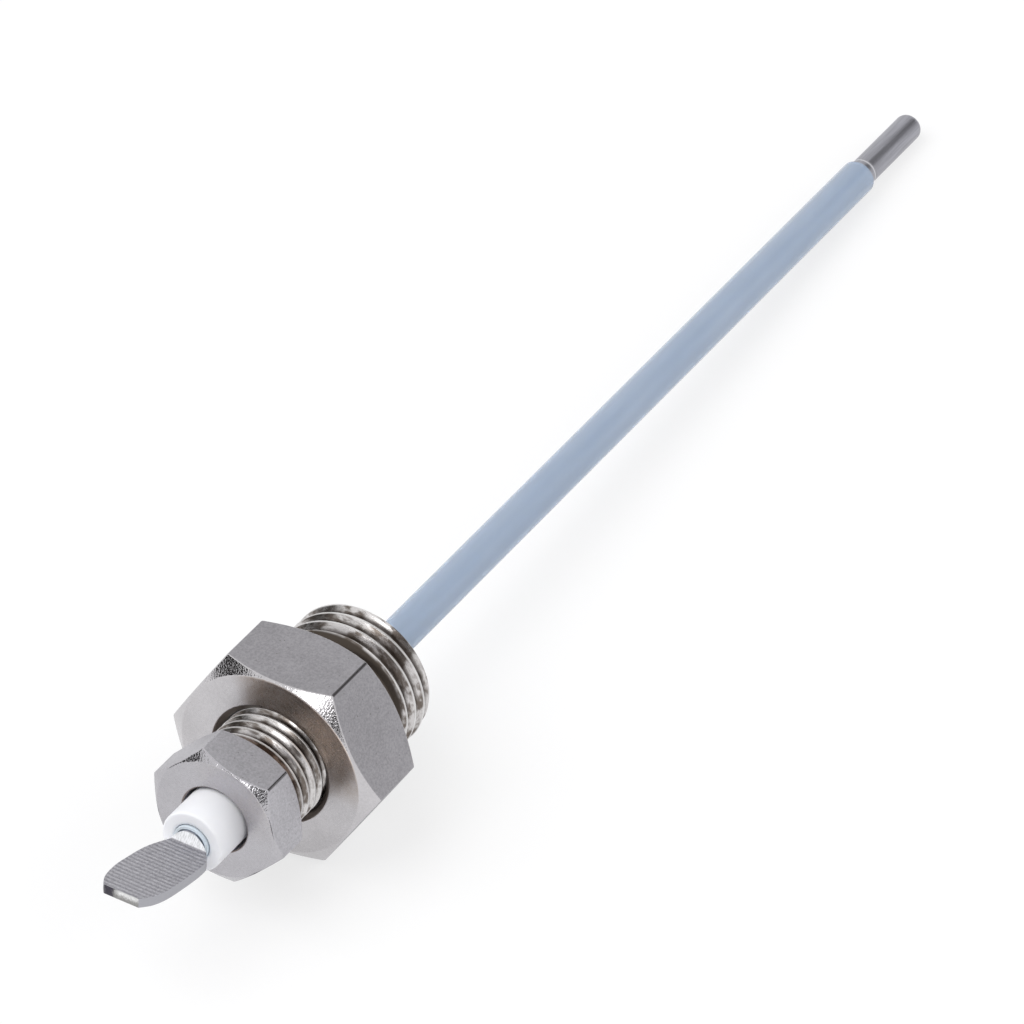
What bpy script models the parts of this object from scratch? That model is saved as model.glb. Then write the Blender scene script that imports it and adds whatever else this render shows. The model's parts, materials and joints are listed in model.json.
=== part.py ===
"""Conductive level probe for a small steam boiler, lying as it comes to rest.

A stainless electrode rod runs down the middle. Its upper end is squeezed between two dies into a flat
terminal tab, and a PTFE sheath covers it down to its bare tip. A plated brass body screws into the boiler
wall, and a hollow gland nut in its mouth presses a washer, a PTFE bush and two packing rings onto the
sheath. Every piece is built along the probe's own axis, local +Z, which runs from the bare tip to the
tab, with z = 0 at the sealing face under the body's hexagon. One empty then lays the probe on the ground.
"""
from math import acos, asin, atan2, ceil, cos, floor, hypot, pi, radians, sin, tan

import bmesh
import bpy
from mathutils import Matrix, Vector

# Body: hexagon bar, turned to a pipe thread below and bored as a gland above
BODY_ACROSS_FLATS = 0.0170
BODY_HEX_HEIGHT = 0.0073
BODY_FACE_RADIUS = 0.0083
BODY_THREAD_RADIUS = 0.0065
BODY_THREAD_ROOT_RADIUS = 0.00578
BODY_THREAD_PITCH = 0.001337
BODY_THREAD_CREST_DEPTH = 0.00436
BODY_THREAD_DEPTH = 0.0078
BODY_THREAD_CHAMFER = 0.0008
BODY_UNDERCUT_RADIUS = 0.00575
BODY_UNDERCUT_LENGTH = 0.0024
BODY_UNDERCUT_FILLET = 0.0003
BODY_BORE_CLEARANCE = 0.00015
CHAMBER_RADIUS = 0.0042
CHAMBER_DEPTH = 0.0030
MOUTH_COUNTERSINK = 0.00053
HEX_CHAMFER_ANGLE = radians(35)
BLANK_MARGIN = 0.0003

# Gland nut: smaller hexagon bar with an external thread and a through hole
NUT_ACROSS_FLATS = 0.0110
NUT_HEX_HEIGHT = 0.0042
NUT_FACE_RADIUS = 0.00538
NUT_THREAD_RADIUS = 0.00492
NUT_THREAD_ROOT_RADIUS = 0.00443
NUT_THREAD_PITCH = 0.001
NUT_THREAD_CREST_DROP = 0.0020
NUT_THREAD_EXPOSED = 0.0042
NUT_THREAD_CHAMFER = 0.0005
NUT_UNDERCUT_RADIUS = 0.0044
NUT_UNDERCUT_LENGTH = 0.0004
NUT_HOLE_RADIUS = 0.0030
NUT_TURN_AT_REST = radians(-14.5)
THREAD_CLEARANCE = 0.00008

# PTFE bush, thrust washer and packing rings inside the gland
BUSH_RADIUS = 0.00275
BUSH_FLANGE_THICKNESS = 0.0015
BUSH_PROJECTION = 0.0030
BUSH_EDGE_RADIUS = 0.00018
WASHER_THICKNESS = 0.0009
WASHER_BORE_CLEARANCE = 0.0001
PACKING_COUNT = 2
PACKING_THICKNESS = 0.00155
PACKING_CHAMFER = 0.0002
SEAT_GAP = 0.00005
SLIDING_CLEARANCE = 0.00005

# Electrode rod and its sheath, with depths measured down from the sealing face
ROD_RADIUS = 0.0013
ROD_TIP_DEPTH = 0.1036
ROD_TIP_ROUNDING = 0.0007
ROD_GROUND_STEP = 0.00003
ROD_GROUND_START = 0.0009
SHEATH_WALL = 0.00026
SHEATH_END_DEPTH = 0.0934
SHEATH_EDGE_RADIUS = 0.00016
SHEATH_STAND_OUT = 0.0002

# Terminal tab, squeezed out of the rod's own upper end
TAB_THICKNESS = 0.0009
TAB_LENGTH = 0.00865
TAB_TIP_CHAMFER = 0.00015
TAB_SHOULDER_GAP = 0.0001
TAB_SHOULDER_LENGTH = 0.0006
TAB_SKEW = radians(5.5)
TAB_RISE = radians(2.5)
# Share of the tab's length from its root, and how far its left and right edges lie from its middle there
TAB_OUTLINE = [
    (0.00, 0.00138, 0.00175),
    (0.11, 0.00178, 0.00240),
    (0.22, 0.00216, 0.00268),
    (0.34, 0.00239, 0.00277),
    (0.50, 0.00254, 0.00276),
    (0.63, 0.00260, 0.00270),
    (0.76, 0.00250, 0.00255),
    (0.87, 0.00225, 0.00224),
    (0.95, 0.00184, 0.00178),
    (1.00, 0.00145, 0.00138),
]

# Form of each thread over one pitch: share of the pitch from the middle of the crest, and the height there
BODY_THREAD_FORM = [(-0.08, 1.0), (0.08, 1.0), (0.42, 0.0), (0.58, 0.0)]
NUT_THREAD_FORM = [(0.0, 1.0), (0.5, 0.0)]

# Fineness of the meshes
TURNED_STEPS = 64
FILLET_STEPS = 4
ROD_FACE_SEGMENTS = 8
ROD_EDGE_SEGMENTS = 8
ROD_FACE_ANGLE = radians(45)
SHOULDER_STATIONS = 4
TAB_STATIONS = 24
MERGE_DISTANCE = 0.000001

# Levels and radii that several pieces share
nut_seat_level = BODY_HEX_HEIGHT + NUT_THREAD_EXPOSED
nut_face_level = nut_seat_level + NUT_HEX_HEIGHT
bush_top_level = nut_face_level + BUSH_PROJECTION
sheath_top_level = bush_top_level + SHEATH_STAND_OUT
packing_pitch = PACKING_THICKNESS + SEAT_GAP
packing_level = -CHAMBER_DEPTH + SEAT_GAP
flange_level = packing_level + PACKING_COUNT * packing_pitch
washer_level = flange_level + BUSH_FLANGE_THICKNESS + SEAT_GAP
nut_end_level = washer_level + WASHER_THICKNESS + SEAT_GAP
nut_bore_radius = NUT_THREAD_RADIUS + THREAD_CLEARANCE
packing_radius = CHAMBER_RADIUS - SLIDING_CLEARANCE
sheath_bore_radius = ROD_RADIUS + SLIDING_CLEARANCE
sheath_radius = sheath_bore_radius + SHEATH_WALL
sheath_passage_radius = sheath_radius + SLIDING_CLEARANCE
shoulder_level = sheath_top_level + TAB_SHOULDER_GAP
tab_root_level = shoulder_level + TAB_SHOULDER_LENGTH
bare_rod_radius = ROD_RADIUS - ROD_GROUND_STEP


def clear_scene():
    """Remove whatever the file holds before the probe is built."""
    for old in list(bpy.data.objects):
        bpy.data.objects.remove(old, do_unlink=True)


def new_collection(name):
    """Add a collection to the scene."""
    collection = bpy.data.collections.new(name)
    bpy.context.scene.collection.children.link(collection)
    return collection


def make_material(name, colour, roughness, metallic):
    """Plain Principled material for one piece."""
    material = bpy.data.materials.new(name)
    material.use_nodes = True
    shader = material.node_tree.nodes["Principled BSDF"]
    shader.inputs["Base Color"].default_value = (*colour, 1.0)
    shader.inputs["Roughness"].default_value = roughness
    shader.inputs["Metallic"].default_value = metallic
    return material


def rounded_corner(centre_radius, centre_level, fillet, start, end):
    """Points of a quarter round in a turned profile, as (radius, level) pairs."""
    points = []
    for step in range(FILLET_STEPS + 1):
        angle = start + (end - start) * step / FILLET_STEPS
        points.append((centre_radius + fillet * cos(angle), centre_level + fillet * sin(angle)))
    return points


def hexagon_corner_radius(across_flats):
    """Distance from a hexagon's centre to its corners."""
    return across_flats / 2 / cos(pi / 6)


def chamfered_hexagon_side(across_flats, face_radius, top, bottom):
    """Outer profile of a hexagon's blank, whose two cones cut the bar's corners back to the faces."""
    blank_radius = hexagon_corner_radius(across_flats) + BLANK_MARGIN
    cone_depth = (blank_radius - face_radius) * tan(HEX_CHAMFER_ANGLE)
    return [
        (face_radius, top),
        (blank_radius, top - cone_depth),
        (blank_radius, bottom + cone_depth),
        (face_radius, bottom),
    ]


def turned_object(name, profile, collection):
    """Closed profile of (radius, level) points, turned about the axis with a Screw modifier."""
    mesh = bpy.data.meshes.new(name)
    vertices = [(radius, 0.0, level) for radius, level in profile]
    edges = [(index, (index + 1) % len(profile)) for index in range(len(profile))]
    mesh.from_pydata(vertices, edges, [])
    piece = bpy.data.objects.new(name, mesh)
    collection.objects.link(piece)
    turning = piece.modifiers.new("turning", "SCREW")
    turning.axis = "Z"
    turning.angle = 2 * pi
    turning.steps = TURNED_STEPS
    turning.render_steps = TURNED_STEPS
    turning.use_merge_vertices = True
    turning.merge_threshold = MERGE_DISTANCE
    turning.use_smooth_shade = True
    return piece


def wind_thread(shape, form, crest_radius, root_radius, pitch, crest_level, low_ring, high_ring):
    """Wind a thread form up a shank between two plain rings, each a (radius, level) pair.

    Every row of points follows the helix, which climbs one pitch a turn. Both ends are cut back at 45
    degrees, and a row that would leave the shank stays on its end ring.
    """
    low_radius, low_level = low_ring
    high_radius, high_level = high_ring
    first_turn = floor((low_level - crest_level) / pitch) - 2
    last_turn = ceil((high_level - crest_level) / pitch) + 1
    rows = []
    for turn in range(first_turn, last_turn + 1):
        for share, height in form:
            row = []
            for step in range(TURNED_STEPS + 1):
                lead = step / TURNED_STEPS
                level = crest_level + (turn + share + lead) * pitch
                radius = root_radius + (crest_radius - root_radius) * height
                radius = min(radius, low_radius + level - low_level, high_radius + high_level - level)
                if level <= low_level:
                    radius, level = low_ring
                elif level >= high_level:
                    radius, level = high_ring
                row.append(shape.verts.new((radius * cos(2 * pi * lead), radius * sin(2 * pi * lead), level)))
            rows.append(row)
    for lower, upper in zip(rows, rows[1:]):
        for step in range(TURNED_STEPS):
            shape.faces.new((lower[step], lower[step + 1], upper[step + 1], upper[step]))


def threaded_object(name, profile, form, crest_radius, root_radius, pitch, crest_level, collection):
    """Open profile turned about the axis, whose two ends are joined by a threaded shank.

    The profile starts at the shank's lower ring and ends at its upper one.
    """
    shape = bmesh.new()
    chain = [shape.verts.new((radius, 0.0, level)) for radius, level in profile]
    edges = [shape.edges.new(pair) for pair in zip(chain, chain[1:])]
    bmesh.ops.spin(shape, geom=chain + edges, axis=(0, 0, 1), angle=2 * pi, steps=TURNED_STEPS, use_merge=True)
    wind_thread(shape, form, crest_radius, root_radius, pitch, crest_level, profile[0], profile[-1])
    bmesh.ops.remove_doubles(shape, verts=shape.verts, dist=MERGE_DISTANCE)
    bmesh.ops.recalc_face_normals(shape, faces=shape.faces)
    mesh = bpy.data.meshes.new(name)
    shape.to_mesh(mesh)
    shape.free()
    mesh.shade_smooth()
    piece = bpy.data.objects.new(name, mesh)
    collection.objects.link(piece)
    return piece


def hexagon_bar(name, across_flats, bottom, top, turn, collection):
    """Hexagonal bar that a turned blank is cut from, with two of its flats facing local +X and -X."""
    corner_radius = hexagon_corner_radius(across_flats)
    shape = bmesh.new()
    bmesh.ops.create_cone(shape, cap_ends=True, segments=6, radius1=corner_radius, radius2=corner_radius,
                          depth=top - bottom)
    bmesh.ops.rotate(shape, verts=shape.verts, matrix=Matrix.Rotation(turn, 3, "Z"))
    bmesh.ops.translate(shape, verts=shape.verts, vec=(0, 0, (top + bottom) / 2))
    mesh = bpy.data.meshes.new(name)
    shape.to_mesh(mesh)
    shape.free()
    bar = bpy.data.objects.new(name, mesh)
    bar.display_type = "WIRE"
    bar.hide_render = True
    collection.objects.link(bar)
    return bar


def cut_from_bar(piece, bar):
    """Keep of a turned blank only what lies inside the hexagonal bar."""
    cut = piece.modifiers.new("hexagon bar", "BOOLEAN")
    cut.operation = "INTERSECT"
    cut.solver = "EXACT"
    cut.object = bar


def build_probe_body(parts, cutters):
    """Body with its sealing face, undercut, thread shank, packing chamber and countersunk mouth."""
    body_bore_radius = sheath_radius + BODY_BORE_CLEARANCE
    profile = [
        (BODY_THREAD_RADIUS - BODY_THREAD_CHAMFER, -BODY_THREAD_DEPTH),
        (body_bore_radius, -BODY_THREAD_DEPTH),
        (body_bore_radius, -CHAMBER_DEPTH),
        (CHAMBER_RADIUS, -CHAMBER_DEPTH),
        (CHAMBER_RADIUS, washer_level),
        (nut_bore_radius, washer_level),
        (nut_bore_radius, BODY_HEX_HEIGHT - MOUTH_COUNTERSINK),
        (nut_bore_radius + MOUTH_COUNTERSINK, BODY_HEX_HEIGHT),
    ]
    profile += chamfered_hexagon_side(BODY_ACROSS_FLATS, BODY_FACE_RADIUS, BODY_HEX_HEIGHT, 0.0)
    profile += rounded_corner(BODY_UNDERCUT_RADIUS + BODY_UNDERCUT_FILLET, -BODY_UNDERCUT_FILLET,
                              BODY_UNDERCUT_FILLET, pi / 2, pi)
    profile += [(BODY_UNDERCUT_RADIUS, -BODY_UNDERCUT_LENGTH)]
    body = threaded_object("probe_body", profile, BODY_THREAD_FORM, BODY_THREAD_RADIUS,
                           BODY_THREAD_ROOT_RADIUS, BODY_THREAD_PITCH, -BODY_THREAD_CREST_DEPTH, parts)
    bar = hexagon_bar("body_bar", BODY_ACROSS_FLATS, -2 * BODY_THREAD_DEPTH, 2 * BODY_HEX_HEIGHT, 0.0, cutters)
    cut_from_bar(body, bar)
    body.data.materials.append(make_material("satin_nickel_body", (0.55, 0.54, 0.55), 0.35, 1.0))
    return [body, bar]


def build_gland_nut(parts, cutters):
    """Hollow nut whose shank reaches down the body's bore to the thrust washer."""
    profile = [
        (NUT_THREAD_RADIUS - NUT_THREAD_CHAMFER, nut_end_level),
        (NUT_HOLE_RADIUS, nut_end_level),
        (NUT_HOLE_RADIUS, nut_face_level),
    ]
    profile += chamfered_hexagon_side(NUT_ACROSS_FLATS, NUT_FACE_RADIUS, nut_face_level, nut_seat_level)
    profile += [
        (NUT_UNDERCUT_RADIUS, nut_seat_level),
        (NUT_UNDERCUT_RADIUS, nut_seat_level - NUT_UNDERCUT_LENGTH),
    ]
    nut = threaded_object("gland_nut", profile, NUT_THREAD_FORM, NUT_THREAD_RADIUS,
                          NUT_THREAD_ROOT_RADIUS, NUT_THREAD_PITCH, nut_seat_level - NUT_THREAD_CREST_DROP,
                          parts)
    bar = hexagon_bar("nut_bar", NUT_ACROSS_FLATS, 0.0, 2 * nut_face_level, NUT_TURN_AT_REST, cutters)
    cut_from_bar(nut, bar)
    nut.data.materials.append(make_material("bright_nickel_nut", (0.62, 0.61, 0.63), 0.28, 1.0))
    return [nut, bar]


def build_thrust_washer(parts):
    """Flat brass washer between the turning nut and the bush's flange."""
    bore = BUSH_RADIUS + WASHER_BORE_CLEARANCE
    top = washer_level + WASHER_THICKNESS
    profile = [(bore, top), (packing_radius, top), (packing_radius, washer_level), (bore, washer_level)]
    washer = turned_object("thrust_washer", profile, parts)
    washer.data.materials.append(make_material("plain_brass", (0.70, 0.55, 0.30), 0.35, 1.0))
    return [washer]


def build_gland_bush(parts):
    """White PTFE bush: a flange over the packing, and a neck that stands out through the nut."""
    flange_top = flange_level + BUSH_FLANGE_THICKNESS
    profile = [(sheath_passage_radius, bush_top_level)]
    profile += rounded_corner(BUSH_RADIUS - BUSH_EDGE_RADIUS, bush_top_level - BUSH_EDGE_RADIUS,
                              BUSH_EDGE_RADIUS, pi / 2, 0.0)
    profile += [
        (BUSH_RADIUS, flange_top),
        (packing_radius, flange_top),
        (packing_radius, flange_level),
        (sheath_passage_radius, flange_level),
    ]
    bush = turned_object("gland_bush", profile, parts)
    bush.data.materials.append(make_material("white_ptfe", (0.85, 0.85, 0.87), 0.5, 0.0))
    return [bush]


def build_packing_rings(parts):
    """Two PTFE rings stacked on the chamber's floor, with their corners broken."""
    material = make_material("packing_ptfe", (0.80, 0.80, 0.78), 0.6, 0.0)
    rings = []
    for number in range(PACKING_COUNT):
        bottom = packing_level + number * packing_pitch
        top = bottom + PACKING_THICKNESS
        profile = [
            (sheath_passage_radius, top),
            (packing_radius - PACKING_CHAMFER, top),
            (packing_radius, top - PACKING_CHAMFER),
            (packing_radius, bottom + PACKING_CHAMFER),
            (packing_radius - PACKING_CHAMFER, bottom),
            (sheath_passage_radius, bottom),
        ]
        ring = turned_object(f"packing_ring_{number + 1}", profile, parts)
        ring.data.materials.append(material)
        rings.append(ring)
    return rings


def build_rod_sheath(parts):
    """Translucent PTFE tube on the rod, from just above the bush down to the bare tip."""
    profile = [
        (sheath_bore_radius, sheath_top_level),
        (sheath_radius, sheath_top_level),
    ]
    profile += rounded_corner(sheath_radius - SHEATH_EDGE_RADIUS, -SHEATH_END_DEPTH + SHEATH_EDGE_RADIUS,
                              SHEATH_EDGE_RADIUS, 0.0, -pi / 2)
    profile += [(sheath_bore_radius, -SHEATH_END_DEPTH)]
    sheath = turned_object("rod_sheath", profile, parts)
    sheath.data.materials.append(make_material("translucent_ptfe", (0.55, 0.63, 0.72), 0.4, 0.0))
    return [sheath]


def smooth_outline(points, share, side):
    """Distance of the tab's left (1) or right (2) edge from its middle, on a smooth curve through the outline."""
    slopes = []
    for index in range(len(points)):
        before = points[max(index - 1, 0)]
        after = points[min(index + 1, len(points) - 1)]
        slopes.append((after[side] - before[side]) / (after[0] - before[0]))
    for index in range(len(points) - 1):
        start, end = points[index], points[index + 1]
        if share <= end[0]:
            break
    span = end[0] - start[0]
    t = (share - start[0]) / span
    return ((2 * t**3 - 3 * t**2 + 1) * start[side] + (t**3 - 2 * t**2 + t) * span * slopes[index]
            + (3 * t**2 - 2 * t**3) * end[side] + (t**3 - t**2) * span * slopes[index + 1])


def electrode_section(level, radius, half_thickness, half_width, rise, skew):
    """Ring of points round the rod: an ellipse whose top and bottom are pressed flat."""
    flat_angle = max(acos(min(half_thickness / radius, 1.0)), ROD_FACE_ANGLE)
    angles = []
    for start, end, segments in (
        (-flat_angle, flat_angle, ROD_FACE_SEGMENTS),
        (flat_angle, pi - flat_angle, ROD_EDGE_SEGMENTS),
        (pi - flat_angle, pi + flat_angle, ROD_FACE_SEGMENTS),
        (pi + flat_angle, 2 * pi - flat_angle, ROD_EDGE_SEGMENTS),
    ):
        angles += [start + (end - start) * step / segments for step in range(segments)]
    ring = []
    for angle in angles:
        thickness = max(-half_thickness, min(half_thickness, radius * cos(angle)))
        ring.append(Vector((rise + thickness, skew + half_width * sin(angle), level)))
    return ring


def round_section(level, radius):
    """Plain round section of the rod."""
    return electrode_section(level, radius, radius, radius, 0.0, 0.0)


def tab_section(share, trim):
    """Section of the flat tab at a share of its length, with its edge trimmed back."""
    along = share * TAB_LENGTH
    left = smooth_outline(TAB_OUTLINE, share, 1)
    right = smooth_outline(TAB_OUTLINE, share, 2)
    return electrode_section(tab_root_level + along, ROD_RADIUS, TAB_THICKNESS / 2 - trim,
                             (left + right) / 2 - trim, along * tan(TAB_RISE),
                             along * tan(TAB_SKEW) + (left - right) / 2)


def electrode_sections():
    """Sections of the one-piece electrode, from the rounded tip up to the cut end of the tab."""
    sections = []
    ground_level = -SHEATH_END_DEPTH - ROD_GROUND_START
    for radius, level in reversed(rounded_corner(bare_rod_radius - ROD_TIP_ROUNDING,
                                                 -ROD_TIP_DEPTH + ROD_TIP_ROUNDING,
                                                 ROD_TIP_ROUNDING, 0.0, -pi / 2)):
        sections.append(round_section(level, radius))
    sections.append(round_section(ground_level, bare_rod_radius))
    sections.append(round_section(ground_level + ROD_GROUND_STEP, ROD_RADIUS))
    sections.append(round_section(shoulder_level, ROD_RADIUS))
    root_left, root_right = TAB_OUTLINE[0][1:]
    for step in range(1, SHOULDER_STATIONS):
        share = step / SHOULDER_STATIONS
        half_thickness = ROD_RADIUS + (TAB_THICKNESS / 2 - ROD_RADIUS) * share
        half_width = ROD_RADIUS + ((root_left + root_right) / 2 - ROD_RADIUS) * share
        sections.append(electrode_section(shoulder_level + share * TAB_SHOULDER_LENGTH, ROD_RADIUS,
                                          half_thickness, half_width, 0.0,
                                          (root_left - root_right) / 2 * share))
    last_share = 1.0 - TAB_TIP_CHAMFER / TAB_LENGTH
    for step in range(TAB_STATIONS + 1):
        sections.append(tab_section(last_share * step / TAB_STATIONS, 0.0))
    sections.append(tab_section(1.0, TAB_TIP_CHAMFER))
    return sections


def build_electrode_rod(parts):
    """Loft of the rod's sections: one solid from the bare tip to the flattened terminal tab."""
    shape = bmesh.new()
    rings = [[shape.verts.new(point) for point in section] for section in electrode_sections()]
    for lower, upper in zip(rings, rings[1:]):
        count = len(lower)
        for index in range(count):
            after = (index + 1) % count
            shape.faces.new((lower[index], lower[after], upper[after], upper[index]))
    shape.faces.new(list(reversed(rings[0])))
    shape.faces.new(rings[-1])
    bmesh.ops.recalc_face_normals(shape, faces=shape.faces)
    mesh = bpy.data.meshes.new("electrode_rod")
    shape.to_mesh(mesh)
    shape.free()
    mesh.shade_smooth()
    mesh.set_sharp_from_angle(angle=radians(30))
    rod = bpy.data.objects.new("electrode_rod", mesh)
    parts.objects.link(rod)
    rod.data.materials.append(make_material("stainless_steel", (0.50, 0.50, 0.53), 0.35, 1.0))
    return [rod]


def resting_tilt():
    """Tilt at which the hexagon's lower flat and the rod's rounded tip both touch the ground."""
    flat_radius = BODY_ACROSS_FLATS / 2
    flat_end_level = (flat_radius - BODY_FACE_RADIUS) * tan(HEX_CHAMFER_ANGLE)
    along = flat_end_level + ROD_TIP_DEPTH - ROD_TIP_ROUNDING
    across = flat_radius - (bare_rod_radius - ROD_TIP_ROUNDING)
    return atan2(across, along) - asin(ROD_TIP_ROUNDING / hypot(along, across))


def lay_on_ground(pieces, parts):
    """Parent all pieces to one empty on the probe's axis, and lay them with the rod towards +X."""
    axis = bpy.data.objects.new("probe_axis", None)
    parts.objects.link(axis)
    for piece in pieces:
        piece.parent = axis
    axis.rotation_euler = (0.0, resting_tilt() - pi / 2, 0.0)
    bpy.context.view_layer.update()
    graph = bpy.context.evaluated_depsgraph_get()
    corners = []
    for piece in pieces:
        if piece.hide_render:
            continue
        laid = piece.evaluated_get(graph)
        mesh = laid.to_mesh()
        corners += [laid.matrix_world @ vertex.co for vertex in mesh.vertices]
        laid.to_mesh_clear()
    low = Vector([min(corner[side] for corner in corners) for side in range(3)])
    high = Vector([max(corner[side] for corner in corners) for side in range(3)])
    axis.location = (-(low.x + high.x) / 2, -(low.y + high.y) / 2, -low.z)
    bpy.context.view_layer.update()
    return axis


def build_level_probe():
    """Build every piece along the axis, then lay the probe down."""
    clear_scene()
    parts = new_collection("level_probe")
    cutters = new_collection("cutters")
    pieces = build_probe_body(parts, cutters)
    pieces += build_gland_nut(parts, cutters)
    pieces += build_thrust_washer(parts)
    pieces += build_gland_bush(parts)
    pieces += build_packing_rings(parts)
    pieces += build_rod_sheath(parts)
    pieces += build_electrode_rod(parts)
    return lay_on_ground(pieces, parts)


build_level_probe()
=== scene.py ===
import json
import math

import bmesh
import bpy
from mathutils import Euler, Matrix, Vector


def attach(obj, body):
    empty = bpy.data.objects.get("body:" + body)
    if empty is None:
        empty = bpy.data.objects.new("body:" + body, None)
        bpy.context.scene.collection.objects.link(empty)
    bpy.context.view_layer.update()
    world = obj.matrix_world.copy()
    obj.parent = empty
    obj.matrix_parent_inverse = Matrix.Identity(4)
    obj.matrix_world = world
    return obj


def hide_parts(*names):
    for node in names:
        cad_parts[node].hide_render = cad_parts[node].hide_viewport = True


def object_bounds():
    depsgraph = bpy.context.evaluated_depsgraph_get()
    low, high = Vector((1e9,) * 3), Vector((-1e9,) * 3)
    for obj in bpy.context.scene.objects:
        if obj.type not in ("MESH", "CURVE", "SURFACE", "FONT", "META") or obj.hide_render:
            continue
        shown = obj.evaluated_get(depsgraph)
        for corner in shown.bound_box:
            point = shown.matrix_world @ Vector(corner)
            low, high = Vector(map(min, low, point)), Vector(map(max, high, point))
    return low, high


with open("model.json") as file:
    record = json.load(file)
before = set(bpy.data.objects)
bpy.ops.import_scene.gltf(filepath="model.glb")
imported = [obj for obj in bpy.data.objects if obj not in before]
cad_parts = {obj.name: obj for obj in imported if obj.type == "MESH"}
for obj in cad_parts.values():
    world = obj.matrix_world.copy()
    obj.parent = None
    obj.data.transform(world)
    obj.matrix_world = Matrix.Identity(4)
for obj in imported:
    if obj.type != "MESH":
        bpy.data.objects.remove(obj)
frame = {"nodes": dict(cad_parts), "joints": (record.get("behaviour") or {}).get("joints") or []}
cad_low, cad_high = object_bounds()

# Probe body: hexagon brass bar, bored for the gland and turned down below the hexagon for the pipe
# thread, then nickel plated. The flats keep the drawn skin of the bar, the near face and the two
# chamfers are turned, and a smooth undercut parts the sealing face from the thread.
MILLIMETRE = 0.001
GLAND_TURN_LEVEL = 2.75

turning = next(joint for joint in frame["joints"] if joint["name"] == "gland_turn")
up_the_probe = Vector(turning["axis"]).normalized()
sealing_face = Vector(turning["pos_m"]) - up_the_probe * (GLAND_TURN_LEVEL * MILLIMETRE)
across = Vector((0.0, 1.0, 0.0))
over = across.cross(up_the_probe)
place = Matrix.Translation(sealing_face) @ Matrix((
    (over.x, across.x, up_the_probe.x, 0.0),
    (over.y, across.y, up_the_probe.y, 0.0),
    (over.z, across.z, up_the_probe.z, 0.0),
    (0.0, 0.0, 0.0, 1.0),
)) @ Matrix.Scale(MILLIMETRE, 4)

# The pieces are drawn in millimetres: levels up the probe from the sealing face, radii from its line.
AROUND = 240
THREAD_ROWS = 16
ROOT_FLAT = 0.12
CREST_FLAT = 0.12
WELD = 0.0005
SHARP_EDGE = math.radians(48)
HEX_CHAMFER = math.tan(math.radians(35))
EDGE_SOFTENING = 0.05
FLAT_STATIONS = (-1.0, -0.975, -0.8, -0.6, -0.4, -0.2, 0.0, 0.2, 0.4, 0.6, 0.8, 0.975, 1.0)
CORNER_STEPS = 6

BODY_FLATS = 17.0
BODY_CORNER_RADIUS = 0.22
BODY_TOP = 7.3
BODY_FACE = 8.3
BODY_UNDERCUT = 5.70
BODY_NECK_LEVEL = -3.05
BODY_SHANK_TOP = -0.05
PIPE_CREST = 6.54
PIPE_ROOT = 5.78
PIPE_PITCH = 1.337
PIPE_CREST_LEVEL = -4.36
PIPE_LOW_END = -7.8
PIPE_HIGH_END = -2.35
MOUTH_BORE = 5.0
MOUTH_COUNTERSINK = 0.53
CHAMBER_RADIUS = 4.2
CHAMBER_FLOOR = -3.0
WASHER_LEVEL = 1.8
BODY_BORE = 1.76


class Reading:
    """One output of a node tree. Sums and products of readings add the Math nodes that they need."""

    def __init__(self, tree, socket=None):
        self.tree = tree
        self.socket = socket

    def node(self, kind, settings, inputs, output=0):
        """Adds a node: its settings first, then the values or links of its sockets."""
        made = self.tree.nodes.new(kind)
        for name, setting in settings.items():
            setattr(made, name, setting)
        for name, value in inputs.items():
            if isinstance(value, Reading):
                self.tree.links.new(value.socket, made.inputs[name])
            else:
                made.inputs[name].default_value = value
        return Reading(self.tree, made.outputs[output])

    def also(self, output):
        """Another output of the same node."""
        return Reading(self.tree, self.socket.node.outputs[output])

    def math(self, operation, *values):
        """A Math node on plain numbers and readings."""
        return self.node("ShaderNodeMath", {"operation": operation}, dict(enumerate(values)))

    def __add__(self, other):
        return self.math("ADD", self, other)

    def __radd__(self, other):
        return self.math("ADD", other, self)

    def __sub__(self, other):
        return self.math("SUBTRACT", self, other)

    def __rsub__(self, other):
        return self.math("SUBTRACT", other, self)

    def __mul__(self, other):
        return self.math("MULTIPLY", self, other)

    def __rmul__(self, other):
        return self.math("MULTIPLY", other, self)

    def __truediv__(self, other):
        return self.math("DIVIDE", self, other)

    def __pow__(self, other):
        return self.math("POWER", self, other)

    def __abs__(self):
        return self.math("ABSOLUTE", self)

    def least(self, other):
        return self.math("MINIMUM", self, other)

    def most(self, other):
        return self.math("MAXIMUM", self, other)

    def step(self, low, high):
        """0 below low, 1 above high and smooth between them."""
        return self.node("ShaderNodeMapRange", {"interpolation_type": "SMOOTHSTEP"},
                         {"Value": self, "From Min": low, "From Max": high})

    def colours(self, dark, light):
        """Goes from one colour to the other as this reading goes from 0 to 1."""
        mixed = self.node("ShaderNodeMix", {"data_type": "RGBA"}, {0: self}, 2)
        for index, colour in ((6, dark), (7, light)):
            socket = mixed.socket.node.inputs[index]
            if isinstance(colour, Reading):
                self.tree.links.new(colour.socket, socket)
            else:
                socket.default_value = (*colour, 1.0)
        return mixed


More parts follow.
